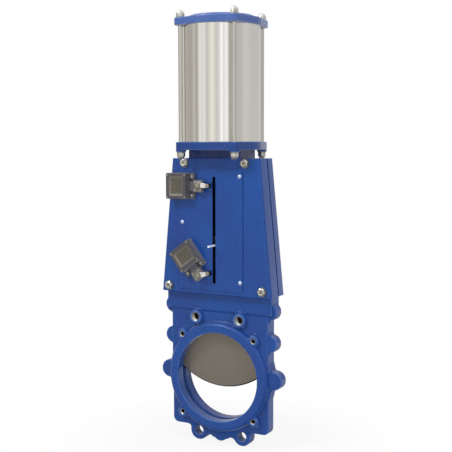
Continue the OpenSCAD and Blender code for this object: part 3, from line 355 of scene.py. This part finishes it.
# a CAD node's mesh with its doubled points joined and its flat faces whole again
weldLook = {"merge": 0.01, "flat": 0.6}


def weldedCopy(name, source, look):
    mesh = nodes[source].data.copy()
    form = bmesh.new()
    form.from_mesh(mesh)
    bmesh.ops.remove_doubles(form, verts=form.verts, dist=look["merge"]*mm)
    bmesh.ops.dissolve_limit(form, angle_limit=math.radians(look["flat"]), verts=form.verts, edges=form.edges)
    form.to_mesh(mesh)
    form.free()
    mesh.name = name
    obj = bpy.data.objects.new(name, mesh)
    scene.collection.objects.link(obj)
    return obj


# how many steps a rounded edge has, and from which angle an edge counts as sharp
edgeLook = {"segments": 2, "sharp": 32}


# copy of a CAD node with its sharp edges rounded off. cuts split faces that get two finishes
def softCopy(name, source, width, look, finish=None, cuts=()):
    obj = weldedCopy(name, source, weldLook)
    setFinish(obj, *(finish or (finishOf(source),)))
    form = bmesh.new()
    form.from_mesh(obj.data)
    for place, across in cuts:
        everything = [*form.verts, *form.edges, *form.faces]
        bmesh.ops.bisect_plane(form, geom=everything, plane_co=Vector(place)*mm, plane_no=across)
    form.to_mesh(obj.data)
    form.free()
    bevel = obj.modifiers.new("softEdges", "BEVEL")
    bevel.width = width*mm
    bevel.segments = look["segments"]
    bevel.limit_method = "ANGLE"
    bevel.angle_limit = math.radians(look["sharp"])
    for face in obj.data.polygons:
        face.use_smooth = True
    obj.data.set_sharp_from_angle(angle=math.radians(look["sharp"]))
    return stand(obj, source)


# cast skin: the CAD node with all its corners run together as in a sand casting
def castSkin(name, source, look):
    obj = weldedCopy(name, source, weldLook)
    setFinish(obj, finishOf(source))
    remesh = obj.modifiers.new("skin", "REMESH")
    remesh.mode = "VOXEL"
    remesh.voxel_size = look["voxel"]*mm
    remesh.use_smooth_shade = True
    soft = obj.modifiers.new("rounding", "SMOOTH")
    soft.factor = 0.5
    soft.iterations = look["rounds"]
    lean = obj.modifiers.new("lean", "DECIMATE")
    lean.ratio = look["keep"]
    return stand(obj, source)


# lathed form about an axis. profile holds (height, radius) or (height, radius, width across flats)
def spun(form, place, axis, profile, steps, closed=False, turn=0.0):
    axis = Vector(axis).normalized()
    side = Vector((0, 0, 1)) if abs(axis.z) < 0.5 else Vector((1, 0, 0))
    side = (side - axis*side.dot(axis)).normalized()
    other = axis.cross(side)
    rings = []
    for point in profile:
        height, radius = point[0], point[1]
        centre = Vector(place) + axis*height
        if radius <= 0:
            rings.append([form.verts.new(centre*mm)])
            continue
        ring = []
        for i in range(steps):
            a = 2*math.pi*i/steps
            r = radius
            if len(point) > 2:
                r = min(r, point[2]/2/math.cos((a + turn + math.pi/6) % (math.pi/3) - math.pi/6))
            ring.append(form.verts.new((centre + (side*math.cos(a) + other*math.sin(a))*r)*mm))
        rings.append(ring)
    pairs = list(zip(rings, rings[1:])) + ([(rings[-1], rings[0])] if closed else [])
    for low, high in pairs:
        for i in range(steps):
            j = (i + 1) % steps
            corners = [low[i % len(low)], low[j % len(low)], high[j % len(high)], high[i % len(high)]]
            corners = [v for k, v in enumerate(corners) if v not in corners[:k]]
            if len(corners) > 2:
                form.faces.new(corners)


def finishForm(name, form, finish, sharp):
    bmesh.ops.recalc_face_normals(form, faces=form.faces)
    mesh = bpy.data.meshes.new(name)
    form.to_mesh(mesh)
    form.free()
    for face in mesh.polygons:
        face.use_smooth = True
    mesh.set_sharp_from_angle(angle=math.radians(sharp))
    obj = bpy.data.objects.new(name, mesh)
    scene.collection.objects.link(obj)
    setFinish(obj, finish)
    return obj


# gives faces their finish by a rule on the face
def paintFaces(obj, rule):
    for face in obj.data.polygons:
        face.material_index = rule(face.center/mm, face.normal)


def midOf(node):
    low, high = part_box(node)
    return (low + high)/2/mm


# castings: size of the skin's cells, rounds of smoothing and share of its faces kept
skinLooks = {
    "valve_body": {"name": "castValveBody", "voxel": 1.5, "rounds": 7, "keep": 0.4},
    "upper_head": {"name": "castUpperHead", "voxel": 1.1, "rounds": 4, "keep": 0.5},
    "lower_head": {"name": "castLowerHead", "voxel": 1.1, "rounds": 5, "keep": 0.5}}


def makeCastings(looks):
    for source, look in looks.items():
        castSkin(look["name"], source, look)


makeCastings(skinLooks)
print("cast skins made")


# bare threads in the tapped holes, as sleeves in millimetres: radius and pitch of both sizes, depth, bite as a
# share of the pitch, and how deep they shine; deeper in, threads and hole bottoms are painted shade. The small
# ones below the gate run through
threadLook = {"front_tapped_pair": (10, 2.5), "front_small_holes": (6, 1.75), "depth": 17.4, "start": 0.8,
              "land": 0.4, "wall": 0.3, "inset": 0.15, "bite": 0.62, "brightBig": 13, "brightSmall": 4.5,
              "smallBelow": 120}


def threadProfile(radius, pitch, end, look):
    start, crest = look["start"], radius - look["inset"]
    profile = [(start, crest)]
    depth = start + look["land"]
    while depth < end - pitch:
        profile += [(depth, crest), (depth + pitch/2, radius - look["bite"]*pitch)]
        depth += pitch
    return profile


def makeThreads(look):
    form = bmesh.new()
    mounts = {mount["name"]: mount for mount in record["mounts"]}
    for name in ("front_tapped_pair", "front_small_holes"):
        (radius, pitch), mount = look[name], mounts[name]
        x = mount["dims"]["spacing_x_mm"]/2
        face = -mount["pos_m"][1]/mm
        rise = mount["dims"].get("spacing_y_mm", 2*mount["pos_m"][2]/mm)/2
        for side in (-1, 1):
            for way in (-1, 1):
                depth, outer = look["depth"], radius + look["wall"]
                profile = [(depth + 0.5, 0), (depth + 0.5, outer), (look["start"], outer)]
                profile += threadProfile(radius, pitch, depth, look)
                profile += [(depth - 1, radius - 0.7*pitch), (depth, radius - 0.75*pitch), (depth + 0.2, 0)]
                spun(form, (way*x, side*face, rise), (0, -side, 0), profile, 40)
        if "spacing_y_mm" in mount["dims"]:
            for way in (-1, 1):
                end, outer = 2*face - look["start"], radius + look["wall"]
                profile = [(end, radius - look["inset"]), (end, outer), (look["start"], outer)]
                profile += threadProfile(radius, pitch, end, look)
                spun(form, (way*x, -face, -rise), (0, 1, 0), profile, 40, closed=True)
    obj = finishForm("tappedThreads", form, "bareThreads", 25)
    obj.data.materials.append(finishes["paintedHoleShade"])

    # faces deeper than the bright depth get painted shade
    def rule(centre, normal):
        bright = look["brightSmall"] if abs(centre.z) < look["smallBelow"] else look["brightBig"]
        return 1 if abs(centre.y) < face - bright else 0
    paintFaces(obj, rule)
    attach(obj, body_of(nodes["valve_body"])[0])


makeThreads(threadLook)
print("threads made")


# hexagon bolts of the plates, in millimetres: af is the width across flats, seat the plate's outer face
boltLook = {"x": (120, 77.3), "z": (207.5, 491.5), "seat": 38, "af": 17, "head": 6.4, "shank": 5, "reach": 20,
            "sunk": 0.5, "rim": (0.5, 0.95), "level": 0.05}


# washer face, hexagon with a turned top and a sunk middle. Its radii are shares of the width across flats
def hexHead(form, place, axis, look, turn):
    af, head, reach = look["af"], look["head"], look["reach"]
    floor = head - look["sunk"]
    profile = [(-reach, 0), (-reach, look["shank"]), (0, look["shank"]), (0, af*0.47), (0.35, af*0.47),
               (0.35, af*0.62, af), (head - 1.5, af*0.59, af), (head, af*0.41), (head, af*0.33),
               (floor, af*0.25), (floor, 0)]
    spun(form, place, axis, profile, 72, turn=turn)


def makePlateBolts(look):
    form = bmesh.new()
    turns = [0.2, 0.55, 0.9, 0.35, 0.7, 0.1, 0.45, 0.8]
    for side in (-1, 1):
        for x in (-1, 1):
            for place in zip(look["x"], look["z"]):
                hexHead(form, (x*place[0], side*look["seat"], place[1]), (0, side, 0), look, turns.pop())
    obj = finishForm("plateHexBolts", form, "stainlessBolts", 28)
    setFinish(obj, "stainlessBolts", "boltRimHighlight", "boltMiddles")
    middle = look["seat"] + look["head"] - look["sunk"]

    # the chamfer ring gets the paler steel as a painted highlight, the sunk middle a darker, rougher steel
    def rule(centre, normal):
        if look["rim"][0] < abs(normal.y) < look["rim"][1]:
            return 1
        return 2 if abs(abs(centre.y) - middle) < look["level"] else 0
    paintFaces(obj, rule)
    stand(obj, "support_plate_bolts")


makePlateBolts(boltLook)


# domed nuts above and below the cylinder heads. skirt lists a height, then radius and flats as shares of af
nutLook = {"half": 67.7, "top": 815, "low": 514.9, "af": 17, "height": 16, "bore": 5, "hollow": 11.5,
           "skirt": ((0, 0.48), (0.7, 0.56, 1), (7.9, 0.57, 1), (8.7, 0.50, 1), (9.0, 0.475)),
           "dome": 0.48, "domeFrom": 8, "domeRings": 8}


def makeCapNuts(look):
    af, height = look["af"], look["height"]
    dome = look["dome"]*af
    profile = [(rise, *(af*share for share in shares)) for rise, *shares in look["skirt"]]
    for i in range(1, look["domeRings"] + 1):
        a = math.radians(look["domeFrom"] + i*(90 - look["domeFrom"])/look["domeRings"])
        profile.append((height - dome + dome*math.sin(a), dome*math.cos(a)))
    profile += [(height, 0)]
    hollow = [(look["hollow"], 0), (look["hollow"], look["bore"]), (0, look["bore"])]
    rows = (("topDomedNuts", "top_cap_nuts", "top", 1), ("lowDomedNuts", "bottom_cap_nuts", "low", -1))
    for name, source, level, way in rows:
        form = bmesh.new()
        turns = [0.3, 0.75, 0.5, 0.15]
        for x in (-1, 1):
            for y in (-1, 1):
                place = (x*look["half"], y*look["half"], look[level])
                spun(form, place, (0, 0, way), hollow + profile, 60, turn=turns.pop())
        stand(finishForm(name, form, "domedNuts", 28), source)


makeCapNuts(nutLook)
print("bolts and nuts made")


# pieces with folded, milled or moulded edges: name and how far the edges are rounded
softLooks = {
    "front_support_plate": ("frontFoldedPlate", 0.5), "rear_support_plate": ("rearFoldedPlate", 0.5),
    "front_guard": ("guardSheet", 0.4), "cross_block": ("castCrossBlock", 1.2),
    "packing_gland": ("glandFlange", 0.8), "clevis": ("clevisBlock", 0.7), "seat_retainer": ("seatRing", 0.5),
    "barrel": ("barrelTube", 0.5), "tie_rods": ("drawnTieRods", 0.3), "upper_roller": ("upperRollerWheel", 0.7),
    "lower_roller": ("lowerRollerWheel", 0.7), "upper_switch_body": ("upperSwitchBox", 0.9),
    "lower_switch_body": ("lowerSwitchBox", 0.9), "upper_switch_head": ("upperSwitchHead", 0.9),
    "lower_switch_head": ("lowerSwitchHead", 0.9), "upper_switch_bracket": ("upperSwitchFoot", 0.4),
    "lower_switch_bracket": ("lowerSwitchFoot", 0.4)}


# the long slot's side faces, which lie on the middle line, painted near black as painted shade
slotLook = {"pieces": ("front_support_plate", "front_guard"), "reach": 5, "sideways": 0.3}


def makeSoftPieces(looks, slot):
    for source, (name, width) in looks.items():
        obj = softCopy(name, source, width, edgeLook)
        if source in slot["pieces"]:
            obj.data.materials.append(finishes["paintedSlotShade"])
            reach, sideways = slot["reach"], slot["sideways"]
            paintFaces(obj, lambda centre, normal: int(abs(centre.x) < reach and abs(normal.x) > sideways))


makeSoftPieces(softLooks, slotLook)
print("soft pieces made:", len(softLooks))


# ground faces, and the edge faces in a darker steel as painted shade
gateLook = {"edge": 0.3, "flat": 0.95}


def makeGate(look):
    obj = softCopy("knifeGate", "gate", look["edge"], edgeLook, ("groundGateSteel", "gateEdgePaintedShade"))
    paintFaces(obj, lambda centre, normal: 0 if abs(normal.y) > look["flat"] else 1)


makeGate(gateLook)


# switch covers: raised border, sloping frame painted paler as a painted highlight, and a dark sunk panel round
# the middle
coverLook = {"edge": 0.8, "sunk": 2.2, "panelReach": 16, "slope": (0.25, 0.93), "flat": 0.9}


def makeCovers(look):
    for name in ("upper", "lower"):
        source = name + "_switch_cover"
        finish = ("switchCoverEdge", "switchFrameHighlight", "switchPanel")
        obj = softCopy(name + "SwitchCover", source, look["edge"], edgeLook, finish)
        middle = midOf(source)
        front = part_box(source)[0].y/mm

        def rule(centre, normal, middle=middle, front=front):
            if look["slope"][0] < -normal.y < look["slope"][1]:
                return 1
            near = math.hypot(centre.x - middle.x, centre.z - middle.z) < look["panelReach"]
            return 2 if near and -normal.y > look["flat"] and centre.y > front + look["sunk"] else 0
        paintFaces(obj, rule)


# levers: dark cast hub, bright arm, dark tip, with the lengths of hub and tip
leverLook = {"edge": 0.5, "hub": 6.8, "tip": 4.6}


def makeLevers(look):
    joints = {joint["name"]: joint for joint in record["behaviour"]["joints"]}
    for name in ("upper", "lower"):
        hub = Vector(joints[name + "_lever_swing"]["pos_m"])/mm
        tip = Vector(joints[name + "_roller_spin"]["pos_m"])/mm
        along = Vector((tip.x - hub.x, 0, tip.z - hub.z))
        reach = along.length
        along.normalize()
        cuts = ((hub + along*look["hub"], along), (hub + along*(reach - look["tip"]), along))
        finish = ("leverSteel", "castLeverHub")
        obj = softCopy(name + "LeverArm", name + "_lever", look["edge"], edgeLook, finish, cuts)

        def rule(centre, normal, hub=hub, along=along, reach=reach):
            far = (centre - hub).dot(along)
            return 0 if look["hub"] < far < reach - look["tip"] else 1
        paintFaces(obj, rule)


# the switch heads' face plate with its corner screws, behind the lever. low and high are its corners from the
# lever's shaft, and a screw's outline lists heights with shares of its radius
facePlateLook = {"low": (-13.2, -15.6), "high": (7.2, 8.8), "face": -52, "rise": 0.5, "sunk": 0.2, "edge": 0.5,
                 "screw": 1.9, "inset": 3.2, "corner": 2.4,
                 "outline": ((-0.2, 0), (-0.2, 1), (0.1, 1), (0.28, 0.8), (0.28, 0.45), (0.05, 0.4), (0.05, 0))}


def makeHeadPlates(look):
    joints = {joint["name"]: joint for joint in record["behaviour"]["joints"]}
    mounts = {mount["name"]: mount for mount in record["mounts"]}
    for name in ("upper", "lower"):
        hub = Vector(joints[name + "_lever_swing"]["pos_m"])/mm
        along = -Vector(mounts[name + "_switch_cable_entry"]["axis"])
        across = Vector((0, 1, 0)).cross(along)*-1

        def place(u, v, y, hub=hub, along=along, across=across):
            point = hub + along*u + across*v
            return (point.x, y, point.z)
        form = bmesh.new()
        (u0, v0), (u1, v1) = look["low"], look["high"]
        rings = []
        face, rise = look["face"], look["rise"]
        for grow, y in ((0, face + look["sunk"]), (0, face - rise*0.5), (-look["edge"], face - rise)):
            ring = []
            for cu, cv, start in ((u1, v1, 0), (u0, v1, 90), (u0, v0, 180), (u1, v0, 270)):
                su, sv = (1 if cu > 0 else -1), (1 if cv > 0 else -1)
                for k in range(7):
                    a = math.radians(start + 15*k)
                    r = look["corner"] + grow
                    u = cu - su*look["corner"] + r*math.cos(a)
                    v = cv - sv*look["corner"] + r*math.sin(a)
                    ring.append(form.verts.new(Vector(place(u, v, y))*mm))
            rings.append(ring)
        for low, high in zip(rings, rings[1:]):
            for k in range(len(low)):
                m = (k + 1) % len(low)
                form.faces.new((low[k], low[m], high[m], high[k]))
        form.faces.new(rings[0])
        form.faces.new(rings[-1])
        obj = finishForm(name + "HeadPlate", form, "switchHeadCast", 30)
        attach(obj, body_of(nodes[name + "_switch_head"])[0])
        form = bmesh.new()
        for u in (u0 + look["inset"], u1 - look["inset"]):
            for v in (v0 + look["inset"], v1 - look["inset"]):
                profile = [(height, share*look["screw"]) for height, share in look["outline"]]
                spun(form, place(u, v, face - rise), (0, -1, 0), profile, 24)
        obj = finishForm(name + "HeadScrews", form, "dullZinc", 30)
        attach(obj, body_of(nodes[name + "_switch_head"])[0])


makeCovers(coverLook)
makeLevers(leverLook)
makeHeadPlates(facePlateLook)
print("gate, covers and levers made")


# floor: size, gap under the valve, its white, and the soft shade round the foot. World: light on dull faces,
# and what shiny faces see overhead, below and at the low wall, each with the heights over which it sets in.
# The wall's middle and width are in turns
stageLook = {"floorSize": 30, "floorGap": 0.5, "floorWhite": 0.6, "near": 0.89, "far": 1.0, "fadeFrom": 0.2,
             "fadeTo": 0.44, "worldLight": 0.40, "worldTone": (1.0, 0.80, 1.0), "white": 1.6, "overhead": 1.1,
             "overheadRange": (0.3, 0.75), "below": 0.22, "belowRange": (-0.25, -0.55), "wall": 1.0,
             "wallRange": (0.0, -0.05), "wallMiddle": 0.835, "wallWidth": (0.09, 0.05)}
# what shiny faces see all round: degrees from the camera's side, strength and tone
aroundLook = [(-180, 0.66, "pale"), (-150, 0.62, "pale"), (-127, 0.46, "warm"), (-98, 0.42, "warm"),
              (-92, 0.55, "warm"), (-85, 0.58, "warm"), (-81, 0.43, "cream"), (-76, 0.43, "cream"),
              (-71, 0.72, "pale"), (-66, 0.86, "pale"), (-60, 0.77, "pale"), (-51, 0.85, "pale"),
              (-45, 0.62, "pale"), (-40, 0.62, "cream"), (-33, 0.86, "cream"), (-25, 0.88, "cream"),
              (-17, 0.66, "pale"), (-12, 0.68, "white"), (-5, 0.82, "white"), (-2, 1.10, "white"),
              (1, 1.08, "white"), (5, 0.80, "white"), (14, 1.03, "white"), (18, 0.85, "white"),
              (22, 0.42, "cream"), (28, 0.34, "cream"), (35, 0.55, "pale"), (55, 0.53, "pale"),
              (74, 0.66, "pale"), (95, 0.58, "pale"), (128, 0.57, "white"), (180, 0.66, "pale")]
tones = {"white": (1, 1, 0.99), "pale": (1, 0.99, 0.95), "cream": (1, 0.98, 0.88), "warm": (1, 0.95, 0.88)}


def makeFloor(look):
    level = cadBox[0][2] - look["floorGap"]*mm
    bpy.ops.mesh.primitive_plane_add(size=look["floorSize"], location=(0, 0, level))
    floor = bpy.context.object
    floor.name = "paleFloor"
    mat = bpy.data.materials.new("paleFloor")
    mat.use_nodes = True
    tree = mat.node_tree
    tree.nodes.clear()
    diffuse = addNode(tree, "ShaderNodeBsdfDiffuse", {"Color": (look["floorWhite"],)*3 + (1,)})
    glow = addNode(tree, "ShaderNodeEmission", {"Color": (1, 1, 1, 1), "Strength": 1.0})
    coords = addNode(tree, "ShaderNodeTexCoord").outputs["Object"]
    away = addNode(tree, "ShaderNodeVectorMath", {0: coords}, operation="LENGTH").outputs["Value"]
    share = spread(tree, away, look["near"], look["far"], look["fadeFrom"], look["fadeTo"])
    rays = addNode(tree, "ShaderNodeLightPath")
    inputs = {0: rays.outputs["Is Camera Ray"], 1: share}
    seen = addNode(tree, "ShaderNodeMath", inputs, operation="MULTIPLY").outputs[0]
    mix = addNode(tree, "ShaderNodeMixShader", {0: seen, 1: diffuse.outputs[0], 2: glow.outputs[0]})
    addNode(tree, "ShaderNodeOutputMaterial", {"Surface": mix.outputs[0]})
    floor.data.materials.append(mat)
    floor.visible_glossy = False


def makeSurroundings(look, stops):
    world = bpy.data.worlds.new("softWhite")
    scene.world = world
    world.use_nodes = True
    tree = world.node_tree
    tree.nodes.clear()
    coords = addNode(tree, "ShaderNodeTexCoord").outputs["Generated"]
    sight = Vector(cameraSettings["place"]) - Vector(cameraSettings["target"])
    inputs = {"Vector": coords, "Rotation": (0, 0, -math.atan2(sight.y, sight.x))}
    turned = addNode(tree, "ShaderNodeMapping", inputs).outputs["Vector"]
    around = addNode(tree, "ShaderNodeTexGradient", {"Vector": turned}, gradient_type="RADIAL").outputs["Fac"]
    ramp = addNode(tree, "ShaderNodeValToRGB", {"Fac": around})
    marks = ramp.color_ramp.elements
    while len(marks) > 1:
        marks.remove(marks[-1])
    for i, (angle, strength, tone) in enumerate(stops):
        mark = marks[0] if i == 0 else marks.new((angle + 180)/360)
        mark.position = (angle + 180)/360
        mark.color = tuple(strength*c/look["white"] for c in tones[tone]) + (1,)
    height = addNode(tree, "ShaderNodeSeparateXYZ", {"Vector": coords}).outputs["Z"]
    aside = addNode(tree, "ShaderNodeMath", {0: around, 1: look["wallMiddle"]}, operation="SUBTRACT").outputs[0]
    aside = addNode(tree, "ShaderNodeMath", {0: aside}, operation="ABSOLUTE").outputs[0]
    aside = spread(tree, aside, 0, 1, *look["wallWidth"])
    glossy = ramp.outputs["Color"]
    for key in ("overhead", "wall", "below"):
        mask = spread(tree, height, 0, 1, *look[key + "Range"], interpolation_type="SMOOTHSTEP")
        if key == "wall":
            mask = addNode(tree, "ShaderNodeMath", {0: mask, 1: aside}, operation="MULTIPLY").outputs[0]
        glossy = blendColours(tree, mask, glossy, (look[key]/look["white"],)*3)
    rays = addNode(tree, "ShaderNodeLightPath")
    sideLight = addNode(tree, "ShaderNodeBackground", {"Color": glossy, "Strength": look["white"]})
    inputs = {"Color": (*look["worldTone"], 1), "Strength": look["worldLight"]}
    softLight = addNode(tree, "ShaderNodeBackground", inputs)
    white = addNode(tree, "ShaderNodeBackground", {"Color": (1, 1, 1, 1), "Strength": 1.0})
    inputs = {0: rays.outputs["Is Glossy Ray"], 1: softLight.outputs[0], 2: sideLight.outputs[0]}
    first = addNode(tree, "ShaderNodeMixShader", inputs)
    inputs = {0: rays.outputs["Is Camera Ray"], 1: rays.outputs["Is Transmission Ray"]}
    seen = addNode(tree, "ShaderNodeMath", inputs, operation="MAXIMUM")
    inputs = {0: seen.outputs[0], 1: first.outputs[0], 2: white.outputs[0]}
    last = addNode(tree, "ShaderNodeMixShader", inputs)
    addNode(tree, "ShaderNodeOutputWorld", {"Surface": last.outputs[0]})


# shine: whether shiny faces show the lamp
lampSettings = [
    {"name": "keySoftbox", "place": (-0.75, -1.25, 1.65), "aim": (0, 0, 0.35), "size": (0.5, 0.5), "power": 21,
     "shine": True},
    {"name": "fillSoftbox", "place": (2.4, -1.2, 0.9), "aim": (0, 0, 0.3), "size": (1.0, 1.8), "power": 31,
     "shine": False},
    {"name": "topSoftbox", "place": (0.2, -0.2, 2.6), "aim": (0, 0, 0.3), "size": (1.2, 1.2), "power": 34,
     "shine": False},
    {"name": "stripSoftbox", "place": (0.05, -2.5, 0.12), "aim": (0, 0, 0.3), "size": (0.3, 0.7), "power": 13,
     "shine": False}]


def makeLamps(lamps):
    for lamp in lamps:
        data = bpy.data.lights.new(lamp["name"], "AREA")
        data.shape = "RECTANGLE"
        data.size, data.size_y = lamp["size"]
        data.energy = lamp["power"]
        obj = bpy.data.objects.new(lamp["name"], data)
        obj.location = lamp["place"]
        obj.rotation_euler = (Vector(lamp["aim"]) - Vector(lamp["place"])).to_track_quat("-Z", "Y").to_euler()
        obj.visible_glossy = lamp["shine"]
        scene.collection.objects.link(obj)


makeCamera(cameraSettings)
dressFrame()
makeFloor(stageLook)
makeSurroundings(stageLook, aroundLook)
makeLamps(lampSettings)
scene.view_settings.view_transform = "Standard"
print("camera, stage and lamps made")
